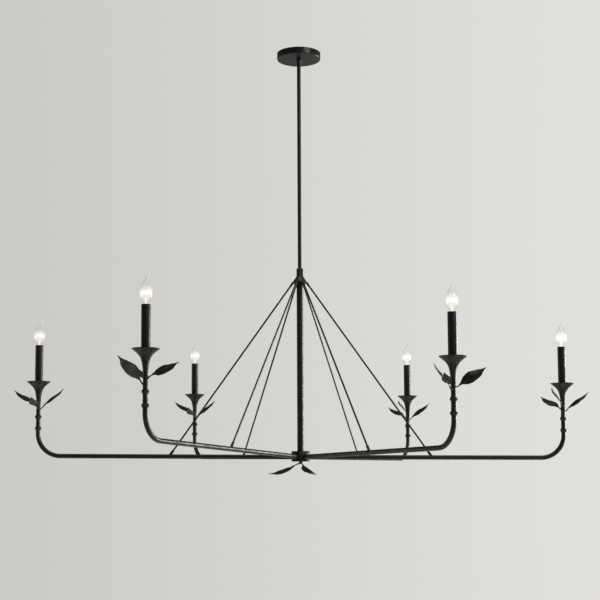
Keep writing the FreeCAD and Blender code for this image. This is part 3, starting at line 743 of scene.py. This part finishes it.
# %% [markdown]
# ### Trumpet cups
# The cup flares from a stem no thicker than the tube to a wide thin rim with a shallow pan inside. Its flank
# is one smooth line through a few (drop below the rim, radius) points. The surface is beaten, so a second
# tree pushes its points in and out along their normals by a slow noise. The leaves use that tree too.

# %% The beating tree
tree, given, output = geometry_tree("beaten_surface", "Depth", "Size", "Seed")
where = position(tree)
blows = add(tree, "ShaderNodeTexVoronoi",
            {"Vector": where, "W": given["Seed"],
             "Scale": maths(tree, "DIVIDE", 1.0, given["Size"]), "Smoothness": 0.6},
            voronoi_dimensions="4D", feature="SMOOTH_F1").outputs["Distance"]
push = times(tree, maths(tree, "SUBTRACT", blows, 0.45), given["Depth"])
free = stored_value(tree, "soft", "FLOAT")
normal = add(tree, "GeometryNodeInputNormal").outputs[0]
finish_tree(tree, given, output, pushed(tree, given, normal, times(tree, push, free)))
beaten_surface = tree


def hammered(name, piece, softness, depth, size, seed, material):
    """Beats a piece's surface; softness gives, for each point, how far the hammer marks reach."""
    stored(piece, "soft", softness)
    values = {"Depth": depth * MM, "Size": size * MM, "Seed": seed, "Material": material}
    return grown(name, piece, beaten_surface, values)


# %% Cups
RIM_UP = 94.2
RIM_R = 33.0
PAN_DEEP = 3.2
WIRE_BORE = 2.6
CUP_FLANK = ((RIM_UP, 6.2), (70.0, 6.0), (52.0, 6.6), (40.0, 7.9), (30.0, 9.8), (22.0, 12.6),
             (15.0, 17.2), (8.0, 24.8), (3.0, 31.0), (1.2, RIM_R))

flank = flowing([(r, RIM_UP - drop) for drop, r in CUP_FLANK], 6)
pan = eased([(RIM_R, RIM_UP - 0.6), (RIM_R, RIM_UP), (RIM_R - 1.2, RIM_UP), (RIM_R - 7.0, RIM_UP - PAN_DEEP),
             (WIRE_BORE, RIM_UP - PAN_DEEP), (WIRE_BORE, 0.0)], 0.5)[1:]
cup = spun("cup", flank + pan, 96)
cup = hammered("cup", cup, lambda co: 1.0 if co.z > 2 * MM and co.xy.length > 6 * MM else 0.0,
               0.5, 5.0, 0.0, beaten_iron)
settle(copied("beaten_cups", cup, ends, beaten_iron), "black_iron", "drip_cups")

# %% [markdown]
# ### Sockets and candle tubes
# The socket is a moulded lamp holder on a short stem. The candle tube hides it: a thin black tube that
# stands in the cup's pan, with a small bevel round its open top.

# %% Sockets and sleeves
SLEEVE_R = 11.2
SLEEVE_WALL = 0.8
SLEEVE_UP = 197.8
SOCKET_R = 8.6
SOCKET_BORE = 6.3
SOCKET_LOW = 167.0
SOCKET_HIGH = 195.0
SEAT_UP = 173.0
NIPPLE_R = 4.6

floor_up = RIM_UP - PAN_DEEP
sleeve = eased([(SLEEVE_R - SLEEVE_WALL, floor_up), (SLEEVE_R, floor_up), (SLEEVE_R, SLEEVE_UP),
                (SLEEVE_R - SLEEVE_WALL, SLEEVE_UP)], 0.35)
sleeves = copied("candle_tubes", spun("sleeve", sleeve, 64), ends, candle_black)
settle(sleeves, "candle_sleeve", "candle_sleeves")
socket = eased([(WIRE_BORE, floor_up), (NIPPLE_R, floor_up), (NIPPLE_R, SOCKET_LOW), (SOCKET_R, SOCKET_LOW),
                (SOCKET_R, SOCKET_HIGH), (SOCKET_BORE, SOCKET_HIGH), (SOCKET_BORE, SEAT_UP),
                (WIRE_BORE, SEAT_UP)], 0.4)
sockets = copied("moulded_sockets", spun("socket", socket, 48), ends, phenolic)
settle(sockets, "socket_plastic", "lamp_sockets")

# %% [markdown]
# ## Leaves
# A leaf here is cut from sheet, beaten hollow, folded a little along its midrib and welded on by its stalk.
# The plain CAD blade already has the right run, twist and width, so the finished one is grown from it. Planes
# across the blade cut it into sections. Each section gives its middle, the vector to its edge, how far the
# midrib sinks, and the sheet's thickness. Rows of a finer, rounder outline are then laid along those sections.

# %% The separate blades of a CAD node
def blades_of(node, axis):
    """Each solid of a node as (points, edges), with its root and tip, in order round the axis."""
    shape = cad_shape(node)
    shape.verts.ensure_lookup_table()
    found = []
    for start in shape.verts:
        if start.tag:
            continue
        start.tag = True
        group = [start]
        for vertex in group:
            for edge in vertex.link_edges:
                other = edge.other_vert(vertex)
                if not other.tag:
                    other.tag = True
                    group.append(other)
        number = {vertex.index: place for place, vertex in enumerate(group)}
        points = np.array([vertex.co for vertex in group])
        edges = [(number[edge.verts[0].index], number[edge.verts[1].index])
                 for vertex in group for edge in vertex.link_edges if edge.verts[0] == vertex]
        root = points[np.argmin(np.hypot(*(points[:, :2] - axis[:2]).T))]
        tip = points[np.argmax(np.linalg.norm(points - root, axis=1))]
        found.append((points, np.array(edges), root, tip))
    shape.free()
    return sorted(found, key=lambda blade: math.atan2(blade[3][1] - axis[1], blade[3][0] - axis[0]))


# %% Sections across a blade
def sections_of(points, edges, root, tip, count=17):
    """Along the blade: rows of (middle, vector to the edge, midrib's sink, half thickness)."""
    chord = tip - root
    share = (points - root) @ chord / (chord @ chord)
    rows = []
    side_before = None
    for cut in np.linspace(0.06, 0.975, count):
        a, b = share[edges[:, 0]], share[edges[:, 1]]
        crossing = edges[(a - cut) * (b - cut) < 0]
        a, b = share[crossing[:, 0]], share[crossing[:, 1]]
        portion = ((cut - a) / (b - a))[:, None]
        outline = points[crossing[:, 0]] * (1 - portion) + points[crossing[:, 1]] * portion
        spans = np.linalg.norm(outline[:, None] - outline[None], axis=2)
        one, two = np.unravel_index(np.argmax(spans), spans.shape)
        middle = (outline[one] + outline[two]) / 2
        to_edge = (outline[two] - outline[one]) / 2
        if side_before is not None and to_edge @ side_before < 0:
            to_edge = -to_edge
        side_before = to_edge
        half = np.linalg.norm(to_edge)
        face = np.cross(chord, to_edge)
        face /= np.linalg.norm(face)
        across = (outline - middle) @ to_edge / half ** 2
        depth = ((outline - middle) @ face)[np.abs(across) < 0.3]
        rows.append([*middle, *to_edge, (depth.max() + depth.min()) / 2, (depth.max() - depth.min()) / 2])
    return np.array(rows), chord / np.linalg.norm(chord)


# %% The finished blade
LEAF_ROUND = 28
LEAF_STEPS = 4
TIP_DRAW = 0.42
DRAW_FROM = 0.80
DRAW_OVER = 0.14
SWEEP_FROM = 0.55
EDGE_RIPPLE = 0.9 * MM
STALK_SINK = 2.5 * MM


def blade_skin(name, blade, axis, fullness, tip_sweep, seed):
    """A closed, thin-edged leaf laid along the sections of a plain blade, its stalk run into the stem."""
    points, edges, root, tip = blade
    rows, along = sections_of(points, edges, root, tip)
    inward = np.append(axis[:2] - root[:2], 0.0)
    stalk = np.array([rows[0], rows[0]])
    stalk[:, :3] = root + inward / np.linalg.norm(inward) * STALK_SINK, root
    rows = np.array(flowing([Vector(row) for row in np.vstack([stalk, rows])], LEAF_STEPS))
    full = np.linalg.norm(rows[:, 3:6], axis=1).max()
    rings = []
    for number, row in enumerate(rows):
        place = number / (len(rows) - 1)
        middle, to_edge, sink, thick = row[:3], row[3:6], row[6], row[7]
        face = np.cross(along, to_edge)
        face /= np.linalg.norm(face)
        width = np.linalg.norm(to_edge)
        drawn_in = min(1.0, max(0.0, (place - DRAW_FROM) / DRAW_OVER))
        narrow = fullness * (1.0 - TIP_DRAW * drawn_in * drawn_in * (3 - 2 * drawn_in))
        swept = max(0.0, (place - SWEEP_FROM) / (1 - SWEEP_FROM))
        sweep = math.sin(math.pi * swept) ** 2 * tip_sweep
        ring = []
        for step in range(LEAF_ROUND):
            angle = 2 * math.pi * step / LEAF_ROUND
            across = math.cos(angle)
            ripple = math.sin(9.0 * place + 2.1 * seed + (2.4 if across > 0 else 0.0))
            lift = sink * (1 - abs(across) ** 1.3) + 0.8 * thick * math.sin(angle)
            lift += EDGE_RIPPLE * ripple * across * across * (width / full) ** 2
            ring.append(middle + to_edge * (across * narrow) + face * lift - np.array(UP) * sweep)
        rings.append(ring)
    start = (rings[0][0] + rings[0][LEAF_ROUND // 2]) * 0.5
    return skin(name, [[start] * LEAF_ROUND] + rings + [[tip] * LEAF_ROUND])


def leaf_cluster(name, node, axis, fullness, tip_sweep, seed):
    """All the leaves of one node, beaten, as one piece."""
    blades = [blade_skin("blade", blade, axis, fullness, tip_sweep, seed + order)
              for order, blade in enumerate(blades_of(node, axis))]
    cluster = hammered(name, joined(name, blades), lambda co: 1.0, 0.55, 4.5, seed * 1.7, beaten_iron)
    settle(cluster, "black_leaf", node)


for seed, arm in enumerate(ARMS):
    axis = np.array(tube_end[arm])
    leaf_cluster("beaten_leaves_" + arm, "leaf_spray_" + arm, axis, 1.14, 2.2 * MM, seed * 3)
leaf_cluster("beaten_leaves_hub", "hub_leaves", np.zeros(3), 1.04, 0.4 * MM, 20)

# %% [markdown]
# ## Bulbs
# A flame bulb has a thin blown glass, a brass screw base, a glass mount inside that carries two lead wires,
# and a coiled filament between the wires. The glass and what is in it turn together. The base slides up as
# they turn. The thread's tree pushes a plain shell in and out by a wave that climbs one pitch in one turn.

# %% The thread tree
RUN_OUT = 1.5 * MM

tree, given, output = geometry_tree("rolled_thread", "Pitch", "Depth", "Low", "High")
where = position(tree)
x, y, z = add(tree, "ShaderNodeSeparateXYZ", {"Vector": where}).outputs
round_it = maths(tree, "ARCTAN2", y, x)
climb = times(tree, maths(tree, "DIVIDE", z, given["Pitch"]), 2 * math.pi)
wave = maths(tree, "COSINE", maths(tree, "SUBTRACT", climb, round_it))
wave = times(tree, maths(tree, "SUBTRACT", wave, 1.0), 0.5)
low, high = given["Low"], given["High"]
lead_in = ramp(tree, z, low, maths(tree, "ADD", low, RUN_OUT))
lead_out = ramp(tree, z, high, maths(tree, "SUBTRACT", high, RUN_OUT))
window = times(tree, lead_in, lead_out)
push = times(tree, wave, window, given["Depth"])
finish_tree(tree, given, output, pushed(tree, given, off_axis(tree, where), push))
rolled_thread = tree

# %% Screw bases
BASE_R = 6.0
PITCH = 2.54
THREAD_DEEP = 0.5
BASE_LOW = SLEEVE_UP - 24.0
BASE_HIGH = SLEEVE_UP - 5.0
SHELL_ROWS = 66
shell_low = BASE_LOW + 4.6
shell_rise = BASE_HIGH - 0.8 - shell_low

shell = [(0, BASE_LOW), (2.2, BASE_LOW), (2.8, BASE_LOW + 1.4), (4.6, BASE_LOW + 3.0),
         (BASE_R - 0.2, shell_low)]
shell += [(BASE_R, shell_low + shell_rise * row / SHELL_ROWS) for row in range(1, SHELL_ROWS + 1)]
shell += [(BASE_R - 0.3, BASE_HIGH), (0, BASE_HIGH)]
base = grown("base", spun("base", shell, 48), rolled_thread,
             {"Pitch": PITCH * MM, "Depth": THREAD_DEEP * MM, "Low": shell_low * MM,
              "High": (BASE_HIGH - 1.5) * MM, "Material": shell_brass})
for arm in ARMS:
    piece = copied("screw_base_" + arm, base, [tube_end[arm]], shell_brass, keep=True)
    settle(piece, "bulb_brass", "bulb_base_" + arm)
bpy.data.objects.remove(base)

# %% [markdown]
# ### Glass
# The flame is a turned form until near its top, where the glass was drawn out and bent as it was sealed. So its
# rings are circles of changing radius whose middles lean to one side at the end. It has an outside and an
# inside skin, because light bends at both. Each point also stores how near it is to the filament's height,
# which the finish turns into glare.

# %% Flame glass
GLASS_WALL = 0.8
GLASS_ROUND = 48
FLAME = ((-4.9, 5.6, 0.0), (0.0, 6.3, 0.0), (7.0, 9.2, 0.0), (16.0, 13.8, 0.0), (26.0, 15.7, 0.0),
         (38.0, 13.9, 0.3), (50.0, 9.4, 0.9), (60.0, 5.2, 1.9), (68.0, 2.5, 3.4), (73.5, 0.9, 5.4))
GLARE_AT = 27.0
GLARE_SPREAD = 11.0


def flame_skin(name, inset):
    """The flame's form, closed at its foot and tip, smaller by an inset."""
    rings = []
    for height, radius, lean in flowing(FLAME, 7):
        if radius - inset < 0.15:
            break
        centre = Vector((lean, 0, SLEEVE_UP + max(height, FLAME[0][0] + inset)))
        rings.append([(centre + Vector((math.cos(a), math.sin(a), 0)) * (radius - inset)) * MM
                      for a in (2 * math.pi * step / GLASS_ROUND for step in range(GLASS_ROUND))])
    foot = Vector((0, 0, rings[0][0].z))
    tip = (rings[-1][0] + rings[-1][GLASS_ROUND // 2]) * 0.5 + UP * (0.6 * MM)
    return skin(name, [[foot] * GLASS_ROUND] + rings + [[tip] * GLASS_ROUND])


def glare(co):
    """How bright the glass is at a point: brightest level with the filament."""
    away = (co.z / MM - SLEEVE_UP - GLARE_AT) / GLARE_SPREAD
    return math.exp(-away * away)


inside = flame_skin("inside", GLASS_WALL)
inside.data.flip_normals()
glass = joined("glass", [flame_skin("outside", 0.0), inside])
stored(glass, "glow", glare)
for arm in ARMS:
    piece = copied("flame_glass_" + arm, glass, [tube_end[arm]], bulb_glass, keep=True)
    settle(piece, "clear_glass", "bulb_glass_" + arm)
bpy.data.objects.remove(glass)

# %% [markdown]
# ### What is inside the glass
# The mount is a tube of glass flared at its foot and pinched flat at its top, where it grips the lead wires.
# The filament is a fine coil bent into an arch. Its tree bends a coiled line round a half circle, so the
# number of turns, the arch and the wire are all plain inputs.

# %% Glass mounts and lead wires
mount = eased([(0, -3.5), (4.6, -3.5), (3.4, 0.5), (2.5, 6.0), (2.2, 13.0), (1.5, 16.5), (0, 17.2)], 0.8)
mount = spun("mount", [(r, z + SLEEVE_UP) for r, z in mount], 24)
for vertex in mount.data.vertices:
    pinch = min(1.0, max(0.0, (vertex.co.z / MM - SLEEVE_UP - 6.0) / 8.0))
    vertex.co.y *= 1 - 0.55 * pinch
    vertex.co.x *= 1 + 0.5 * pinch
stored(mount, "glow", lambda co: 1.0)

LEAD_R = 0.22
LEAD_HALF = 4.2
LEAD_TOP = 25.0
leads = []
for side in (-1, 1):
    route = flowing([(side * 1.2, 0, 12.0), (side * 1.7, 0, 18.0), (side * 3.9, 0, 22.5),
                     (side * LEAD_HALF, 0, LEAD_TOP)], 5)
    points = [(point + UP * SLEEVE_UP) * MM for point in route]
    leads.append(drawn("lead", points, LEAD_R * MM, tungsten, sides=8))
leads = joined("leads", leads)
leads.data.materials.append(tungsten)

# %% The coil tree
COIL_POINTS = 220

tree, given, output = geometry_tree("arched_coil", "Turns", "Half Width", "Rise", "Coil", "Wire")
spine = add(tree, "GeometryNodeMeshLine", {"Count": COIL_POINTS}).outputs[0]
share = maths(tree, "DIVIDE", add(tree, "GeometryNodeInputIndex").outputs[0], COIL_POINTS - 1.0)
bend = times(tree, share, math.pi)
wind = times(tree, share, given["Turns"], 2 * math.pi)
swell = times(tree, maths(tree, "COSINE", wind), given["Coil"])
half_width = maths(tree, "ADD", given["Half Width"], swell)
rise = maths(tree, "ADD", given["Rise"], swell)
x = times(tree, maths(tree, "COSINE", bend), half_width)
y = times(tree, maths(tree, "SINE", wind), given["Coil"])
z = times(tree, maths(tree, "SINE", bend), rise)
place = add(tree, "ShaderNodeCombineXYZ", {0: x, 1: y, 2: z}).outputs[0]
wound = add(tree, "GeometryNodeSetPosition", {"Geometry": spine, "Position": place}).outputs[0]
wound = add(tree, "GeometryNodeMeshToCurve", {"Mesh": wound}).outputs[0]
section = add(tree, "GeometryNodeCurvePrimitiveCircle",
              {"Resolution": 5, "Radius": given["Wire"]}).outputs[0]
wound = add(tree, "GeometryNodeCurveToMesh",
            {"Curve": wound, "Profile Curve": section, "Fill Caps": True}).outputs[0]
finish_tree(tree, given, output, wound)

coil = grown("coil", linked("coil", bpy.data.meshes.new("coil")), tree,
             {"Turns": 18.0, "Half Width": LEAD_HALF * MM, "Rise": 5.0 * MM, "Coil": 0.5 * MM,
              "Wire": 0.16 * MM, "Material": filament_glow})
coil.data.transform(Matrix.Translation(UP * ((SLEEVE_UP + LEAD_TOP) * MM)))

# %% Mounts, leads and coils in every bulb
for arm in ARMS:
    at = [tube_end[arm]]
    settle(copied("lit_coil_" + arm, coil, at, filament_glow, keep=True), "filament", "bulb_filament_" + arm)
    inside_glass = "bulb_" + arm
    settle(copied("glass_mount_" + arm, mount, at, mount_glass, keep=True), "clear_glass", body=inside_glass)
    settle(copied("lead_wires_" + arm, leads, at, tungsten, keep=True), "filament", body=inside_glass)
for pattern in (coil, mount, leads):
    bpy.data.objects.remove(pattern)

# %% [markdown]
# ## Wiring
# The wires and their twist-on connectors are out of sight inside the stem, arms and hub, but they are there.
# A connector is a moulded cone with ribs to grip. Its tree lifts the skin in and out round the axis.

# %% The ribbing tree and the connectors
CONNECTOR_R = 4.0
CONNECTOR_LENGTH = 15.0
CONNECTOR_RING = 10.5
CONNECTOR_ANGLES = (30, 150, 270)

tree, given, output = geometry_tree("ribbed_skin", "Ribs", "Depth")
where = position(tree)
x, y, z = add(tree, "ShaderNodeSeparateXYZ", {"Vector": where}).outputs
wave = maths(tree, "COSINE", times(tree, maths(tree, "ARCTAN2", y, x), given["Ribs"]))
push = times(tree, maths(tree, "SUBTRACT", wave, 1.0), given["Depth"])
finish_tree(tree, given, output, pushed(tree, given, off_axis(tree, where), push))

cone = eased([(0, CONNECTOR_LENGTH), (CONNECTOR_R - 1.4, CONNECTOR_LENGTH), (CONNECTOR_R, 3.0),
              (CONNECTOR_R, 0), (0, 0)], 0.6)
cone = grown("cone", spun("cone", cone, 96), tree,
             {"Ribs": 12.0, "Depth": 0.25 * MM, "Material": connector_orange})
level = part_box("wire_connectors")[0].z
places = [Vector((math.cos(a), math.sin(a), 0)) * (CONNECTOR_RING * MM) + UP * level
          for a in (math.radians(angle) for angle in CONNECTOR_ANGLES)]
settle(copied("twist_connectors", cone, places, connector_orange), "connector_plastic", "wire_connectors")
smoothed("supply_cable", "supply_wire", "wire_insulation", cable_black)
smoothed("arm_cables", "arm_wires", "wire_insulation", cable_black)

# %% [markdown]
# ## The room
# A plain pale room: a floor well under the lamp and a pale backdrop on all sides. A window at the right and a
# key light at the front right shape the iron, and weaker lights above and at the left keep the rest from
# going dead. A wide low lamp shines down on the floor. The backdrop that is seen is brighter than the light it
# sheds, which keeps black iron black and the room pale at the same time.

# %% Floor
FLOOR_BELOW = 1.97
FLOOR_R = 13.0
FLOOR_SIDES = 96

material, tree, shader = blank("pale_floor")
grain = noise(tree, on_object(tree), 14.0, 3.0)
tone = blend(tree, ramp(tree, grain, 0.3, 0.7), (0.74, 0.73, 0.71), (0.79, 0.78, 0.76))
feed(tree, shader, {"Base Color": tone, "Roughness": 0.85})
floor_level = cad_box[0][2] - FLOOR_BELOW
edge = [(math.cos(a) * FLOOR_R, math.sin(a) * FLOOR_R, floor_level)
        for a in (2 * math.pi * step / FLOOR_SIDES for step in range(FLOOR_SIDES))]
mesh = bpy.data.meshes.new("floor")
mesh.from_pydata(edge, [], [list(range(FLOOR_SIDES))])
floor = as_object("floor", mesh)
floor.data.materials.append(material)

# %% Backdrop
world = bpy.data.worlds.new("pale_room")
world.use_nodes = True
tree = world.node_tree
tree.nodes.clear()
path = add(tree, "ShaderNodeLightPath")
seen = maths(tree, "MAXIMUM", path.outputs["Is Camera Ray"], path.outputs["Is Transmission Ray"])
heading = add(tree, "ShaderNodeTexCoord").outputs["Generated"]
rightward_painted_light = add(tree, "ShaderNodeSeparateXYZ", {"Vector": heading}).outputs[0]
# The backdrop as seen is painted darker at the left and brighter at the right: painted light falling from the
# right.
tone = blend(tree, ramp(tree, rightward_painted_light, -0.35, 0.35), (0.585, 0.58, 0.55), (0.77, 0.765, 0.73))
shown = add(tree, "ShaderNodeBackground", {"Color": tone, "Strength": 1.0}).outputs[0]
shed = add(tree, "ShaderNodeBackground", {"Color": (0.97, 0.98, 1.0, 1.0), "Strength": 0.13}).outputs[0]
both = add(tree, "ShaderNodeMixShader", {0: seen, 1: shed, 2: shown}).outputs[0]
add(tree, "ShaderNodeOutputWorld", {"Surface": both})
bpy.context.scene.world = world
bpy.context.scene.view_settings.view_transform = "Standard"

# %% Lights
middle = UP * ((cad_box[0][2] + cad_box[1][2]) * 0.5)


def soft_light(name, place, width, power, colour=(1, 1, 1), straight_down=False):
    """A large square light that looks at the lamp's middle, or straight down and then out of reflections."""
    data = bpy.data.lights.new(name, "AREA")
    data.size = width
    data.energy = power
    data.color = colour
    lamp = linked(name, data)
    lamp.location = place
    lamp.visible_camera = False
    lamp.visible_transmission = False
    if straight_down:
        lamp.visible_glossy = False
    else:
        lamp.rotation_euler = (middle - Vector(place)).to_track_quat("-Z", "Y").to_euler()


soft_light("floor_wash", (0, 0, floor_level + 1.2), 26.0, 740.0, straight_down=True)
soft_light("window", (3.6, 1.6, -0.8), 1.5, 210.0, (1.0, 0.98, 0.95))
soft_light("key", (3.0, -3.0, 1.2), 1.8, 60.0, (1.0, 0.97, 0.93))
soft_light("overhead", (0.3, -0.6, 2.2), 2.4, 45.0, (1.0, 0.98, 0.96))
soft_light("fill", (-3.8, 1.4, -0.9), 1.5, 18.0, (0.95, 0.97, 1.0))

# %% [markdown]
# ## Camera
# The camera stands a little to one side in front, just below the height of the hub, and looks slightly up.
# Its lens is moderately long, and a small shift lifts the frame.

# %% Camera
LENS = 75.03
RISE = 0.0569
YAW, PITCH_UP, ROLL = (math.radians(angle) for angle in (0.21, 6.0, -0.28))
EYE = Vector((0.0129, -3.5693, -1.2039))

ahead = Vector((-math.sin(YAW), math.cos(YAW), 0))
forward = ahead * math.cos(PITCH_UP) + UP * math.sin(PITCH_UP)
level_right = Vector((math.cos(YAW), math.sin(YAW), 0))
level_up = level_right.cross(forward)
right = level_right * math.cos(ROLL) + level_up * math.sin(ROLL)
above = level_up * math.cos(ROLL) - level_right * math.sin(ROLL)
data = bpy.data.cameras.new("camera")
data.lens = LENS
data.sensor_width = 36.0
data.shift_y = RISE
data.clip_end = 60.0
camera = linked("camera", data)
turn = Matrix((right, above, -forward)).transposed().to_4x4()
camera.matrix_world = Matrix.Translation(EYE) @ turn
bpy.context.scene.camera = camera

# %% The end
print("the end")
